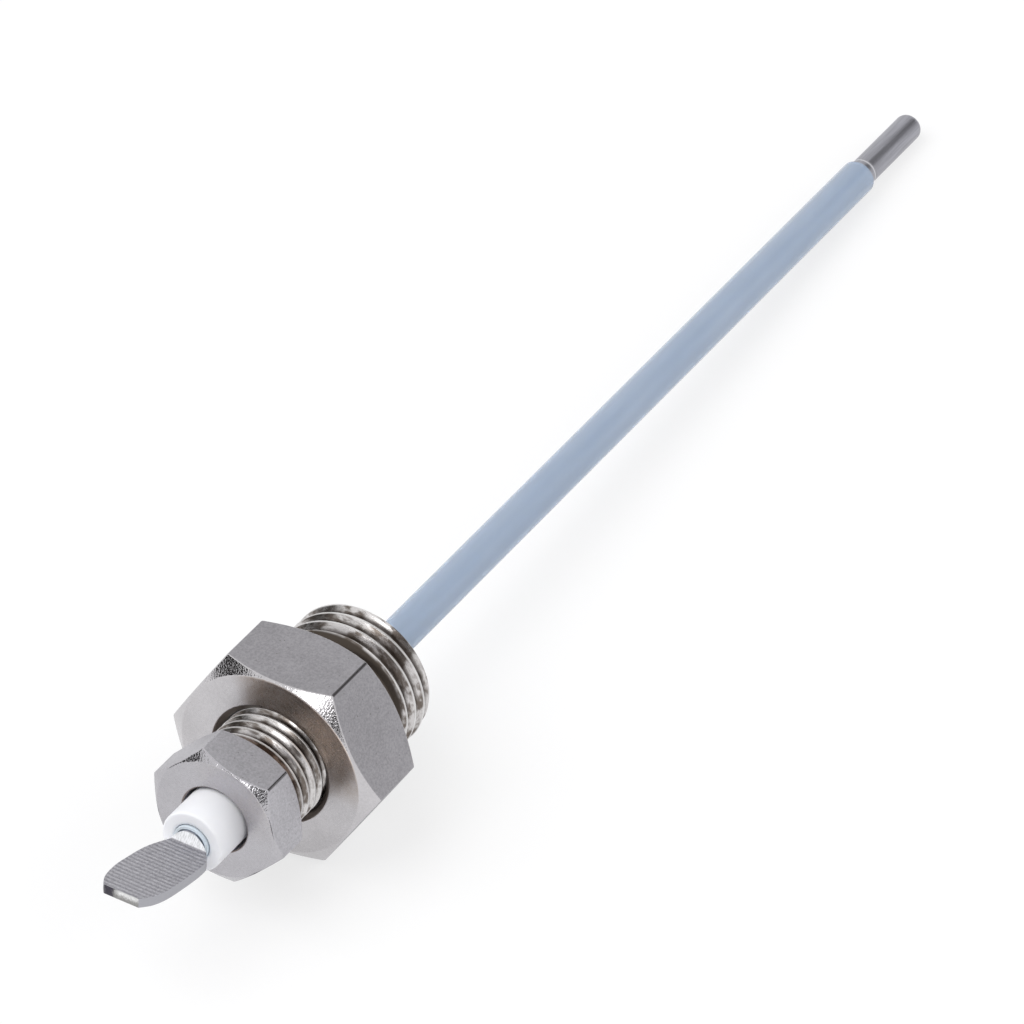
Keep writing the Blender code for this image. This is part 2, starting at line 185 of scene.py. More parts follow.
class Finish:
    """A material whose patterns are measured in millimetres along and round the probe."""

    def __init__(self, name):
        self.material = bpy.data.materials.new(name)
        self.material.use_nodes = True
        self.tree = self.material.node_tree
        self.shader = self.tree.nodes["Principled BSDF"]
        self.start = Reading(self.tree)
        seen = self.start.node("ShaderNodeTexCoord", {}, {}, "Object")
        self.point = self.start.node("ShaderNodeMapping", {"vector_type": "TEXTURE"}, {
            "Vector": seen, "Location": sealing_face, "Rotation": place.to_euler(),
            "Scale": (MILLIMETRE,) * 3})
        self.x = self.start.node("ShaderNodeSeparateXYZ", {}, {"Vector": self.point}, "X")
        self.y = self.x.also("Y")
        self.level = self.x.also("Z")
        self.radius = (self.x * self.x + self.y * self.y) ** 0.5
        self.normal = seen.also("Normal")
        self.upward = self.toward(up_the_probe)
        self.facing = abs(self.upward)

    def toward(self, direction):
        """How far the surface faces a direction: 1 straight at it, -1 straight away."""
        return self.start.node("ShaderNodeVectorMath", {"operation": "DOT_PRODUCT"},
                               {0: self.normal, 1: direction}, "Value")

    def round_to(self, x, y):
        """1 on the side of the probe that lies this way from its line, -1 on the side across."""
        return (self.x * x + self.y * y) / self.radius

    def noise(self, scale, detail=3.0, roughness=0.6, vector=None):
        """Cloudy pattern from 0 to 1, with this many clouds to a millimetre."""
        return self.start.node("ShaderNodeTexNoise", {}, {
            "Vector": vector or self.point, "Scale": scale, "Detail": detail, "Roughness": roughness})

    def stretched(self, x, y, z):
        """The millimetre point with each direction multiplied, for patterns that are drawn out."""
        return self.start.node("ShaderNodeVectorMath", {"operation": "MULTIPLY"},
                               {0: self.point, 1: (x, y, z)})

    def turning_marks(self, by_radius, by_level, detail, roughness):
        """Rings that the turning tool leaves, closer together as the two factors grow."""
        return self.noise(1.0, detail, roughness, self.start.node("ShaderNodeCombineXYZ", {}, {
            "X": self.radius * by_radius, "Y": self.level * by_level}))

    def pits(self, scale, size):
        """1 in small round pits, 0 elsewhere."""
        cells = self.start.node("ShaderNodeTexVoronoi", {}, {
            "Vector": self.point, "Scale": scale, "Randomness": 1.0}, "Distance")
        return 1 - cells.step(size * 0.5, size)

    def bump(self, height, distance):
        """Relief from a height reading, as deep as the distance in metres where the height is 1."""
        return self.start.node("ShaderNodeBump", {}, {"Height": height, "Distance": distance})

    def paint(self, sockets, constants):
        """Links readings to the shader's sockets, sets its constants and returns the material."""
        for name, value in sockets.items():
            self.tree.links.new(value.socket, self.shader.inputs[name])
        for name, value in constants.items():
            self.shader.inputs[name].default_value = value
        return self.material


def shade(colour, share):
    """The colour made darker or lighter by a share."""
    return tuple(channel * share for channel in colour)


def turned_face_colour(finish, cloud, turned, face_colour, painted_reflection_share):
    """Plate on turned faces, with a painted brown reflection on the side that leans to it."""
    faces = cloud.step(0.25, 0.75).colours(shade(face_colour, 0.88), face_colour)
    # Painted reflection: mottled brown on the side of the face that leans one way, going to light tan
    # further round and greyer at the far end.
    shaded = finish.round_to(0.82, -0.57).step(0.40, 0.72) * turned
    mottle = finish.noise(2.4, 4.0, 0.7).step(0.32, 0.68)
    sideways = finish.round_to(0.0, -1.0)
    tan = sideways.step(0.25, 0.80).colours((0.30, 0.235, 0.19), (1.0, 0.82, 0.69))
    tan = sideways.step(0.84, 0.99).colours(tan, (0.36, 0.31, 0.275))
    return (shaded * (mottle * 0.3 + 0.5) * painted_reflection_share).colours(faces, tan)


def thread_colour(finish, crest, crest_radius, root_radius):
    """Plate on a thread, in painted light: highlights on the crests, painted reflections in light and dark
    patches on the flanks and painted shade in the roots.
    """
    blobs = finish.noise(0.5, 2.0, 0.5).step(0.42, 0.58)
    streaks = finish.noise(1.2, 3.0, 0.6, finish.stretched(1.0, 1.0, 5.0)).step(0.34, 0.66)
    reflection_patches = (blobs * 0.55 + streaks * 0.45).step(0.1, 0.9)
    flank_reflections = reflection_patches.colours((0.17, 0.145, 0.128), (0.66, 0.64, 0.635))
    depth = 1 - finish.radius.step(root_radius, crest_radius - 0.08)
    flank_reflections = (depth.step(0.30, 1.0) * 0.85).colours(flank_reflections, (0.06, 0.048, 0.04))
    return (crest * 0.8).colours(flank_reflections, (0.82, 0.81, 0.81))


def nickel(name, flat_colour, face_colour, underside_shade_colour, painted_reflection_share, corner, crest_radius, root_radius,
           shank_low, shank_high, neck_level):
    """Nickel plate over drawn flats, turned faces and a cut thread with a smooth neck above it."""
    finish = Finish(name)
    turned = finish.facing.step(0.90, 0.97)
    sloping = finish.facing.step(0.35, 0.45) * (1 - finish.facing.step(0.90, 0.95))
    outside = finish.radius.step(corner * 0.78, corner * 0.80)
    chamfer = sloping * outside
    countersink = sloping * (1 - outside)
    on_shank = (1 - finish.radius.step(crest_radius + 0.1, crest_radius + 0.15)) * (1 - turned)
    on_shank = on_shank * finish.level.step(shank_low - 0.05, shank_low)
    on_shank = on_shank * (1 - finish.level.step(shank_high, shank_high + 0.05))
    neck = on_shank * finish.level.step(neck_level - 0.1, neck_level + 0.1)
    crest = finish.radius.step(crest_radius - 0.07, crest_radius - 0.02)
    on_flat = (1 - on_shank) * (1 - finish.facing.step(0.15, 0.30))
    pitted = finish.pits(1.6, 0.11) * on_flat
    # Painted reflection: a dark line along the rounded hexagon corners on one side, which are also made
    # shinier.
    dark_corner_reflection = finish.radius.step(corner - 0.05, corner - 0.035) * on_flat
    dark_corner_reflection = dark_corner_reflection * finish.round_to(0.87, -0.5).step(0.70, 0.80)

    cloud = finish.noise(0.35, 2.0, 0.5)
    grain = finish.noise(9.0, 4.0, 0.7)
    sparkle = finish.noise(6.0, 1.0, 0.5).step(0.35, 0.65)
    speckle = finish.noise(5.0, 4.0, 0.8).step(0.34, 0.66)
    drawn = finish.noise(6.0, 3.0, 0.6, finish.stretched(1.0, 1.0, 0.10))
    rings = finish.turning_marks(14.0, 0.0, 3.0, 0.7)

    flats = (cloud * 0.4 + speckle * 0.4 + drawn * 0.2).step(0.15, 0.85).colours(
        shade(flat_colour, 0.74), shade(flat_colour, 1.06))
    flats = (pitted * 0.6).colours(flats, (0.08, 0.07, 0.065))
    flats = (dark_corner_reflection * 0.7).colours(flats, (0.05, 0.045, 0.045))
    faces = turned_face_colour(finish, cloud * 0.7 + speckle * 0.3, turned, face_colour, painted_reflection_share)
    # Painted shade: the countersink at the mouth of the bore is darkened to brown.
    faces = (countersink * 0.85).colours(faces, (0.26, 0.21, 0.18))
    # Painted shade: faces that look down the probe, under each hexagon, take the darker underside colour.
    faces = finish.upward.step(-0.97, -0.90).colours(underside_shade_colour, faces)
    plate = finish.facing.step(0.35, 0.45).colours(flats, faces)
    thread = thread_colour(finish, crest, crest_radius, root_radius)
    # Painted shade: the smooth neck between the hexagon and the thread is near black brown.
    thread = neck.colours(thread, (0.085, 0.07, 0.058))

    height = (rings * turned * 0.25 + grain * turned * 0.25 + sparkle * chamfer * 2.3
              + (grain * 0.6 + drawn * 0.25) * on_flat - pitted * 1.5
              + grain * on_shank * 0.08)
    rough = (0.40 - turned * 0.16 - chamfer * 0.32 + grain * 0.08 - on_shank * 0.19 - dark_corner_reflection * 0.2
             + crest * on_shank * 0.25 + neck * 0.14)
    return finish.paint({
        "Base Color": on_shank.colours(plate, thread),
        "Roughness": rough,
        "Normal": finish.bump(height, 0.0000035),
    }, {"Metallic": 1.0})


def threaded_shank_tree():
    """Node tree that winds a thread form up a shank and cuts both of its ends at 45 degrees."""
    tree = bpy.data.node_groups.new("threaded_shank", "GeometryNodeTree")
    for name, kind in (("Crest Radius", "Float"), ("Root Radius", "Float"), ("Pitch", "Float"),
                       ("Crest Level", "Float"), ("Low End", "Float"), ("High End", "Float"),
                       ("Low End Radius", "Float"), ("High End Radius", "Float"),
                       ("Steps Around", "Int"), ("Rows", "Int"), ("Rows A Turn", "Int"),
                       ("Plate", "Material")):
        tree.interface.new_socket(name, in_out="INPUT", socket_type="NodeSocket" + kind)
    tree.interface.new_socket("Shank", in_out="OUTPUT", socket_type="NodeSocketGeometry")
    start = Reading(tree)
    crest = start.node("NodeGroupInput", {}, {}, "Crest Radius")
    root = crest.also("Root Radius")
    pitch = crest.also("Pitch")
    low = crest.also("Low End")
    high = crest.also("High End")
    rows = crest.also("Rows")
    grid = start.node("GeometryNodeMeshGrid", {}, {
        "Size X": 1.0, "Size Y": 1.0,
        "Vertices X": crest.also("Steps Around") + 1, "Vertices Y": rows + 1})
    at = start.node("GeometryNodeInputPosition", {}, {})
    grid_x = start.node("ShaderNodeSeparateXYZ", {}, {"Vector": at}, "X")
    share = grid_x + 0.5
    row = (grid_x.also("Y") + 0.5) * rows
    raw = low - pitch + row * pitch / crest.also("Rows A Turn") + share * pitch
    level = raw.most(low).least(high)
    turns = (level - crest.also("Crest Level")) / pitch - share
    triangle = abs(turns.math("FRACT", turns) - 0.5) * 2
    slope = ((triangle - ROOT_FLAT) / (1 - ROOT_FLAT - CREST_FLAT)).most(0.0).least(1.0)
    radius = root + (crest - root) * slope
    radius = radius.least(crest.also("Low End Radius") + level - low)
    radius = radius.least(crest.also("High End Radius") + high - level)
    angle = share * (2 * math.pi)
    moved = start.node("ShaderNodeCombineXYZ", {}, {
        "X": radius * angle.math("COSINE", angle), "Y": radius * angle.math("SINE", angle), "Z": level})
    wound = start.node("GeometryNodeSetPosition", {}, {"Geometry": grid, "Position": moved})
    closed = start.node("GeometryNodeMergeByDistance", {}, {"Geometry": wound, "Distance": WELD})
    real = start.node("GeometryNodeRealizeInstances", {}, {"Geometry": closed})
    plated = start.node("GeometryNodeSetMaterial", {}, {
        "Geometry": real, "Material": crest.also("Plate")})
    out = tree.nodes.new("NodeGroupOutput")
    tree.links.new(plated.socket, out.inputs["Shank"])
    return tree


threaded_shank = threaded_shank_tree()


def put_in_scene(name, data):
    """Makes an object of a mesh, a lamp or a camera and links it to the scene."""
    thing = bpy.data.objects.new(name, data)
    bpy.context.scene.collection.objects.link(thing)
    return thing


def cut_thread(name, material, sizes):
    """Runs the thread tree with these sizes, in millimetres, and returns its plain mesh."""
    turns = (sizes["High End"] - sizes["Low End"] + sizes["Pitch"]) / sizes["Pitch"]
    sizes = {**sizes, "Steps Around": AROUND, "Rows A Turn": THREAD_ROWS,
             "Rows": math.ceil(turns * THREAD_ROWS), "Plate": material}
    blank = put_in_scene(name, bpy.data.meshes.new(name))
    winding = blank.modifiers.new("thread", "NODES")
    winding.node_group = threaded_shank
    for item in threaded_shank.interface.items_tree:
        if item.in_out == "INPUT":
            winding[item.identifier] = sizes[item.name]
    evaluated = blank.evaluated_get(bpy.context.evaluated_depsgraph_get())
    mesh = bpy.data.meshes.new_from_object(evaluated)
    blank.modifiers.clear()
    bpy.data.objects.remove(blank)
    return mesh


def circle(radius, level, steps=AROUND):
    """Points of a circle round the probe's line."""
    return [Vector((radius * math.cos(2 * math.pi * step / steps),
                    radius * math.sin(2 * math.pi * step / steps), level)) for step in range(steps)]


def skin(shape, rows):
    """Joins rings of equally many points with four-sided faces, and returns the first and last ring."""
    rings = [[shape.verts.new(point) for point in row] for row in rows]
    for lower, upper in zip(rings, rings[1:]):
        count = len(lower)
        for index in range(count):
            after = (index + 1) % count
            shape.faces.new((lower[index], lower[after], upper[after], upper[index]))
    return rings[0], rings[-1]


def zip_rings(shape, first, second):
    """Joins two rings of unequal counts that lie in one flat face, with triangles."""
    def turn(ring, index):
        point = ring[index % len(ring)].co
        return math.atan2(point.y, point.x)

    begin = min(range(len(second)), key=lambda index: abs(
        (turn(second, index) - turn(first, 0) + math.pi) % (2 * math.pi) - math.pi))
    second = second[begin:] + second[:begin]
    angles = []
    for ring in (first, second):
        base = turn(ring, 0)
        angles.append([(turn(ring, index) - base + 1e-6) % (2 * math.pi) for index in range(len(ring))]
                      + [2 * math.pi])
    i, j = 0, 0
    while i < len(first) or j < len(second):
        a, b = first[i % len(first)], second[j % len(second)]
        if j == len(second) or (i < len(first) and angles[0][i + 1] <= angles[1][j + 1]):
            shape.faces.new((a, first[(i + 1) % len(first)], b))
            i += 1
        else:
            shape.faces.new((a, second[(j + 1) % len(second)], b))
            j += 1


def corner_reach(across_flats, corner_radius):
    """How far the rounded corners of a hexagon bar reach from its line."""
    return (across_flats / 2 - corner_radius) / math.cos(math.radians(30)) + corner_radius


def hexagon_outline(across_flats, corner_radius, turn):
    """Points round a hexagon bar with slightly rounded corners."""
    half = across_flats / 2
    reach = (half - corner_radius) * math.tan(math.radians(30))
    points = []
    for side in range(6):
        angle = math.radians(60 * side) + turn
        out = Vector((math.cos(angle), math.sin(angle)))
        along = Vector((-math.sin(angle), math.cos(angle)))
        for share in FLAT_STATIONS:
            points.append(out * half + along * reach * share)
        centre = out * (half - corner_radius) + along * reach
        for step in range(1, CORNER_STEPS):
            round_angle = angle + math.radians(60) * step / CORNER_STEPS
            points.append(centre + corner_radius * Vector((math.cos(round_angle), math.sin(round_angle))))
    return points


def chamfer_point(point, distance, face_radius, level, way, below=0.0):
    """The outline's point moved to a distance from the probe's line, on the chamfer or below it."""
    drop = max(distance - face_radius, 0.0) * HEX_CHAMFER + below
    return (point.normalized() * distance).to_3d() + Vector((0.0, 0.0, level + way * drop))


def hexagon_rows(outline, face_radius, top, bottom):
    """Rows down the outside of a hexagon: face, cone, softened edge, flats, softened edge, cone, face."""
    soft = EDGE_SOFTENING
    cone_start = face_radius + 2 * soft
    sides = []
    for level, way in ((top, -1.0), (bottom, 1.0)):
        side = []
        for reach in (-2 * soft, -soft, soft, 2 * soft):
            side.append([chamfer_point(point, face_radius + reach, face_radius, level, way)
                         for point in outline])
        for share, inset in ((0.5, 2 * soft), (1.0, 2 * soft), (1.0, soft)):
            side.append([chamfer_point(
                point, cone_start + (point.length - inset - cone_start) * share, face_radius, level, way)
                for point in outline])
        for below in (soft, 2 * soft):
            side.append([chamfer_point(point, point.length, face_radius, level, way, below)
                         for point in outline])
        sides.append(side)
    return sides[0] + list(reversed(sides[1]))


def soft_profile(points, soft=EDGE_SOFTENING):
    """Turned profile whose corners are cut back twice, so that its edges catch the light."""
    result = [points[0]]
    for before, corner, after in zip(points, points[1:], points[2:]):
        here = Vector(corner)
        for other in (Vector(before), Vector(after)):
            way = other - here
            cut = min(soft, way.length * 0.2)
            steps = (2 * cut, cut) if other == Vector(before) else (cut, 2 * cut)
            for step in steps:
                result.append(tuple(here + way.normalized() * step))
    result.append(points[-1])
    return result


def finish_piece(name, shape, material, body, node):
    """Makes a piece of a mesh built in millimetres round the probe's line, in the frame's place."""
    bmesh.ops.remove_doubles(shape, verts=shape.verts, dist=WELD)
    bmesh.ops.recalc_face_normals(shape, faces=shape.faces)
    mesh = bpy.data.meshes.new(name)
    shape.to_mesh(mesh)
    shape.free()
    mesh.transform(place)
    mesh.shade_smooth()
    mesh.set_sharp_from_angle(angle=SHARP_EDGE)
    mesh.materials.clear()
    mesh.materials.append(material)
    for polygon in mesh.polygons:
        polygon.material_index = 0
    piece = put_in_scene(name, mesh)
    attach(piece, body)
    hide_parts(node)


body_nickel = nickel(
    "nickel_on_body", flat_colour=(0.37, 0.36, 0.38), face_colour=(0.58, 0.565, 0.58),
    underside_shade_colour=(0.48, 0.47, 0.48), painted_reflection_share=1.0, corner=corner_reach(BODY_FLATS, BODY_CORNER_RADIUS),
    crest_radius=PIPE_CREST, root_radius=PIPE_ROOT,
    shank_low=PIPE_LOW_END, shank_high=BODY_SHANK_TOP, neck_level=BODY_NECK_LEVEL)
shape = bmesh.new()
shape.from_mesh(cut_thread("pipe_thread", body_nickel, {
    "Crest Radius": PIPE_CREST, "Root Radius": PIPE_ROOT, "Pitch": PIPE_PITCH,
    "Crest Level": PIPE_CREST_LEVEL, "Low End": PIPE_LOW_END, "High End": PIPE_HIGH_END,
    "Low End Radius": BODY_UNDERCUT, "High End Radius": BODY_UNDERCUT}))
body_outline = hexagon_outline(BODY_FLATS, BODY_CORNER_RADIUS, 0.0)
hex_top, hex_bottom = skin(shape, hexagon_rows(body_outline, BODY_FACE, BODY_TOP, 0.0))
bore = soft_profile([
    (MOUTH_BORE + MOUTH_COUNTERSINK + 0.4, BODY_TOP), (MOUTH_BORE + MOUTH_COUNTERSINK, BODY_TOP),
    (MOUTH_BORE, BODY_TOP - MOUTH_COUNTERSINK), (MOUTH_BORE, WASHER_LEVEL), (CHAMBER_RADIUS, WASHER_LEVEL),
    (CHAMBER_RADIUS, CHAMBER_FLOOR), (BODY_BORE, CHAMBER_FLOOR), (BODY_BORE, PIPE_LOW_END),
    (BODY_UNDERCUT, PIPE_LOW_END)])
mouth_ring, _ = skin(shape, [circle(radius, level) for radius, level in bore])
undercut = [(BODY_UNDERCUT, PIPE_HIGH_END), (BODY_UNDERCUT, -0.35), (BODY_UNDERCUT + 0.09, -0.15),
            (BODY_UNDERCUT + 0.2, -0.05), (BODY_UNDERCUT + 0.4, 0.0)]
_, seal_ring = skin(shape, [circle(radius, level) for radius, level in undercut])
zip_rings(shape, hex_top, mouth_ring)
zip_rings(shape, hex_bottom, seal_ring)
finish_piece("body_with_pipe_thread", shape, body_nickel, "probe", "probe_body")

# Packing rings: two turned PTFE rings, pushed down into the body's chamber round the sheath. The
# bush squeezes them until they seal. They stay hidden, so they keep the source's shape.


def repaint(node, material):
    """Gives a node that keeps the source's shape its own material."""
    frame["nodes"][node].data.materials.clear()
    frame["nodes"][node].data.materials.append(material)


packing = Finish("packing_ptfe")
waxy = packing.noise(1.4, 3.0)
packing_ptfe = packing.paint({
    "Base Color": waxy.colours((0.78, 0.78, 0.76), (0.86, 0.86, 0.84)),
    "Roughness": 0.38 + waxy * 0.14,
    "Normal": packing.bump(packing.noise(8.0), 0.000003),
}, {})
repaint("packing_ring_1", packing_ptfe)
repaint("packing_ring_2", packing_ptfe)

# Thrust washer: a plain brass ring, turned flat on both sides. The nut turns on it, so that the
# bush's flange below isn't scrubbed. It keeps the source's shape too.
washer_finish = Finish("washer_brass")
tarnish = washer_finish.noise(0.8, 3.0)
washer_brass = washer_finish.paint({
    "Base Color": tarnish.colours((0.60, 0.44, 0.22), (0.76, 0.60, 0.34)),
    "Roughness": 0.22 + tarnish * 0.2,
    "Normal": washer_finish.bump(washer_finish.turning_marks(12.0, 0.0, 2.0, 0.6), 0.000002),
}, {"Metallic": 1.0})
repaint("thrust_washer", washer_brass)

# Gland bush: one turned piece of white PTFE. Its flange sits on the packing, and its neck comes out
# through the nut and carries the rod clear of the metal.
BUSH_RADIUS = 2.75
BUSH_TOP = 19.1
BUSH_BORE = 1.66
BUSH_FLANGE = 4.15
BUSH_FLANGE_LOW = 0.25
BUSH_FLANGE_HIGH = 1.75
BUSH_EDGE = 0.18
BUSH_EDGE_STEPS = 6
BUSH_MIDDLE = 10.0

bush = Finish("white_ptfe")
bush_cloud = bush.noise(0.5, 2.0)
white_ptfe = bush.paint({
    "Base Color": bush_cloud.colours((0.83, 0.84, 0.88), (0.90, 0.90, 0.93)),
    "Roughness": 0.34 + bush_cloud * 0.12,
    "Normal": bush.bump(bush.turning_marks(9.0, 9.0, 2.0, 0.6), 0.000004),
}, {"Subsurface Weight": 0.25, "Subsurface Radius": (1.0, 1.0, 1.1), "Subsurface Scale": 0.0012,
    "IOR": 1.38})
shape = bmesh.new()
bush_profile = [(BUSH_BORE, BUSH_TOP - 0.1), (BUSH_BORE + 0.1, BUSH_TOP), (BUSH_BORE + 0.3, BUSH_TOP),
                (BUSH_RADIUS - BUSH_EDGE - 0.1, BUSH_TOP)]
for step in range(BUSH_EDGE_STEPS + 1):
    angle = math.pi / 2 * step / BUSH_EDGE_STEPS
    bush_profile.append((BUSH_RADIUS - BUSH_EDGE + BUSH_EDGE * math.sin(angle),
                         BUSH_TOP - BUSH_EDGE + BUSH_EDGE * math.cos(angle)))
bush_profile += [(BUSH_RADIUS, BUSH_TOP - 0.5)] + soft_profile([
    (BUSH_RADIUS, BUSH_MIDDLE), (BUSH_RADIUS, BUSH_FLANGE_HIGH), (BUSH_FLANGE, BUSH_FLANGE_HIGH),
    (BUSH_FLANGE, BUSH_FLANGE_LOW), (BUSH_BORE, BUSH_FLANGE_LOW), (BUSH_BORE, BUSH_MIDDLE)])
skin(shape, [circle(radius, level) for radius, level in bush_profile + bush_profile[:1]])
finish_piece("bush_turned", shape, white_ptfe, "probe", "gland_bush")

# Gland nut: hexagon brass bar with a fine external thread, drilled through for the bush and nickel
# plated. It is screwed down into the body with a spanner and presses on the washer.
NUT_FLATS = 11.0
NUT_CORNER_RADIUS = 0.16
NUT_TURN = math.radians(-14.5)
NUT_TOP = 15.7
NUT_SEAT = 11.5
NUT_FACE = 5.38
NUT_HOLE = 3.0
NUT_END = 2.75
NUT_NECK_LEVEL = 11.0
NUT_NECK_RADIUS = 4.34
NUT_SHANK_TOP = 11.45
FINE_CREST = 4.92
FINE_ROOT = 4.36
FINE_PITCH = 1.0
FINE_CREST_LEVEL = 9.5
FINE_HIGH_END = 11.3

nut_nickel = nickel(
    "nickel_on_nut", flat_colour=(0.51, 0.50, 0.53), face_colour=(0.50, 0.49, 0.515),
    underside_shade_colour=(0.26, 0.19, 0.145), painted_reflection_share=0.12, corner=corner_reach(NUT_FLATS, NUT_CORNER_RADIUS),
    crest_radius=FINE_CREST, root_radius=FINE_ROOT,
    shank_low=NUT_END, shank_high=NUT_SHANK_TOP, neck_level=NUT_NECK_LEVEL)
shape = bmesh.new()
shape.from_mesh(cut_thread("fine_thread", nut_nickel, {
    "Crest Radius": FINE_CREST, "Root Radius": FINE_ROOT, "Pitch": FINE_PITCH,
    "Crest Level": FINE_CREST_LEVEL, "Low End": NUT_END, "High End": FINE_HIGH_END,
    "Low End Radius": NUT_NECK_RADIUS, "High End Radius": NUT_NECK_RADIUS}))
nut_outline = hexagon_outline(NUT_FLATS, NUT_CORNER_RADIUS, NUT_TURN)
nut_top, nut_bottom = skin(shape, hexagon_rows(nut_outline, NUT_FACE, NUT_TOP, NUT_SEAT))
hole = soft_profile([(NUT_HOLE + 0.6, NUT_TOP), (NUT_HOLE + 0.12, NUT_TOP), (NUT_HOLE, NUT_TOP - 0.12),
                     (NUT_HOLE, NUT_END), (NUT_NECK_RADIUS, NUT_END)])
hole_ring, _ = skin(shape, [circle(radius, level) for radius, level in hole])
neck = [(NUT_NECK_RADIUS, FINE_HIGH_END), (NUT_NECK_RADIUS, NUT_SEAT - 0.1),
        (NUT_NECK_RADIUS + 0.06, NUT_SEAT - 0.03), (NUT_NECK_RADIUS + 0.16, NUT_SEAT)]
_, neck_ring = skin(shape, [circle(radius, level) for radius, level in neck])
zip_rings(shape, nut_top, hole_ring)
zip_rings(shape, nut_bottom, neck_ring)
finish_piece("nut_with_fine_thread", shape, nut_nickel, "nut", "gland_nut")

# Rod sheath: extruded translucent PTFE tube, slid over the rod from just above the bush to a hand's
# width below the body. The grey of the steel shows through its thin wall.
SHEATH_OUTER = 1.61
SHEATH_INNER = 1.35
SHEATH_TOP = 19.3
SHEATH_END = -93.4
SHEATH_ROUNDING = 0.06
SHEATH_AROUND = 96
SHEATH_CORNER_STEPS = 4

sheath = Finish("sheath_ptfe")
sheath_cloud = sheath.noise(0.6, 2.0, 0.5, sheath.stretched(1.0, 1.0, 0.15))
sheath_ptfe = sheath.paint({
    "Base Color": sheath.level.step(10.0, 11.0).colours(
        sheath_cloud.colours((0.50, 0.61, 0.77), (0.62, 0.71, 0.84)), (0.82, 0.88, 0.93)),
    # Painted light: the sheath's top end ring glows.
    "Emission Color": sheath.level.step(19.0, 19.2).colours((0.0, 0.0, 0.0), (0.20, 0.225, 0.25)),
    "Roughness": 0.16 + sheath_cloud * 0.12,
    "Normal": sheath.bump(sheath_cloud, 0.000004),
}, {"Transmission Weight": 0.55, "IOR": 1.35, "Emission Strength": 1.0})
shape = bmesh.new()
rows = []
for level, way in ((SHEATH_TOP, 1.0), (SHEATH_END, -1.0)):
    corner = []
    for centre, start in ((SHEATH_INNER + SHEATH_ROUNDING, 180), (SHEATH_OUTER - SHEATH_ROUNDING, 90)):
        for step in range(SHEATH_CORNER_STEPS + 1):
            angle = math.radians(start - 90 * step / SHEATH_CORNER_STEPS)
            corner.append((centre + SHEATH_ROUNDING * math.cos(angle),
                           level - way * SHEATH_ROUNDING + way * SHEATH_ROUNDING * math.sin(angle)))
    rows += corner if way > 0 else [(SHEATH_OUTER, 0.0)] + list(reversed(corner))
skin(shape, [circle(radius, level, SHEATH_AROUND) for radius, level in rows + rows[:1]])
finish_piece("sheath_tube", shape, sheath_ptfe, "probe", "rod_sheath")

# Electrode rod: one length of drawn stainless wire. Its lower tip is rounded, and its upper end is
# squeezed between serrated dies into a flat terminal tab, which is then sheared off at the end.
ROD_RADIUS = 1.3
ROD_GROUND_RADIUS = 1.27
ROD_TIP = -103.6
ROD_TIP_ROUNDING = 0.7
ROD_GROUND_START = -94.3
SHOULDER = 19.4
TAB_ROOT = 20.0
TAB_LENGTH = 8.25
TAB_HALF_THICKNESS = 0.45
TAB_SKEW = math.tan(math.radians(5.5))
TAB_RISE = math.tan(math.radians(2.5))
TAB_TIP_CHAMFER = 0.15
# Share of the tab's length, then the reach of its left and of its right edge from its middle.
TAB_OUTLINE = ((0.0, 1.40, 1.95), (0.11, 1.82, 2.62), (0.22, 2.18, 2.78), (0.34, 2.40, 2.80),
               (0.50, 2.54, 2.76), (0.63, 2.62, 2.70), (0.76, 2.54, 2.55), (0.87, 2.33, 2.24),
               (0.95, 1.96, 1.78), (1.0, 1.58, 1.38))
SERRATION_PITCH = 0.408
SERRATION_DEPTH = 0.035
SERRATION_STEPS = 8
FACE_STEPS = 20
EDGE_STEPS = 12
TIP_STEPS = 8
SHOULDER_STEPS = 8


def edge_at(share, side):
    """Distance of the tab's left (1) or right (2) edge from its middle, on a smooth curve."""
    points = TAB_OUTLINE
    slopes = []
    for index in range(len(points)):
        before = points[max(index - 1, 0)]
        after = points[min(index + 1, len(points) - 1)]
        slopes.append((after[side] - before[side]) / (after[0] - before[0]))
    index = next((i for i in range(len(points) - 1) if share <= points[i + 1][0]), len(points) - 2)
    start, end = points[index], points[index + 1]
    span = end[0] - start[0]
    t = (share - start[0]) / span
    return ((2 * t**3 - 3 * t**2 + 1) * start[side] + (t**3 - 2 * t**2 + t) * span * slopes[index]
            + (3 * t**2 - 2 * t**3) * end[side] + (t**3 - t**2) * span * slopes[index + 1])


def electrode_ring(level, radius, half_thickness, half_width, rise, skew, squareness=0.0):
    """Ring of points: a circle whose top and bottom are pressed flat, up to a plate with steep edges."""
    flat_angle = max(math.acos(min(half_thickness / radius, 1.0)), math.radians(45))
    power = 1 - 0.7 * squareness
    points = []
    for start, end, segments in (
        (-flat_angle, flat_angle, FACE_STEPS),
        (flat_angle, math.pi - flat_angle, EDGE_STEPS),
        (math.pi - flat_angle, math.pi + flat_angle, FACE_STEPS),
        (math.pi + flat_angle, 2 * math.pi - flat_angle, EDGE_STEPS),
    ):
        for step in range(segments):
            angle = start + (end - start) * step / segments
            thickness = max(-half_thickness, min(half_thickness, radius * math.cos(angle)))
            out = math.copysign(abs(math.sin(angle)) ** power, math.sin(angle))
            if segments == FACE_STEPS:
                face_end = math.copysign(math.sin(flat_angle) ** power, math.cos(angle))
                even = (2 * step / segments - 1) * face_end
                out += (even - out) * squareness
            points.append(Vector((rise + thickness, skew + half_width * out, level)))
    return points


def tab_ring(share, cut_back=0.0):
    """Ring of the pressed tab at a share of its length, smaller all round where it is cut back."""
    along = share * TAB_LENGTH
    left, right = edge_at(share, 1), edge_at(share, 2)
    return electrode_ring(TAB_ROOT + along, ROD_RADIUS, TAB_HALF_THICKNESS - cut_back,
                          (left + right) / 2 - cut_back, along * TAB_RISE,
                          along * TAB_SKEW + (left - right) / 2, 1.0)


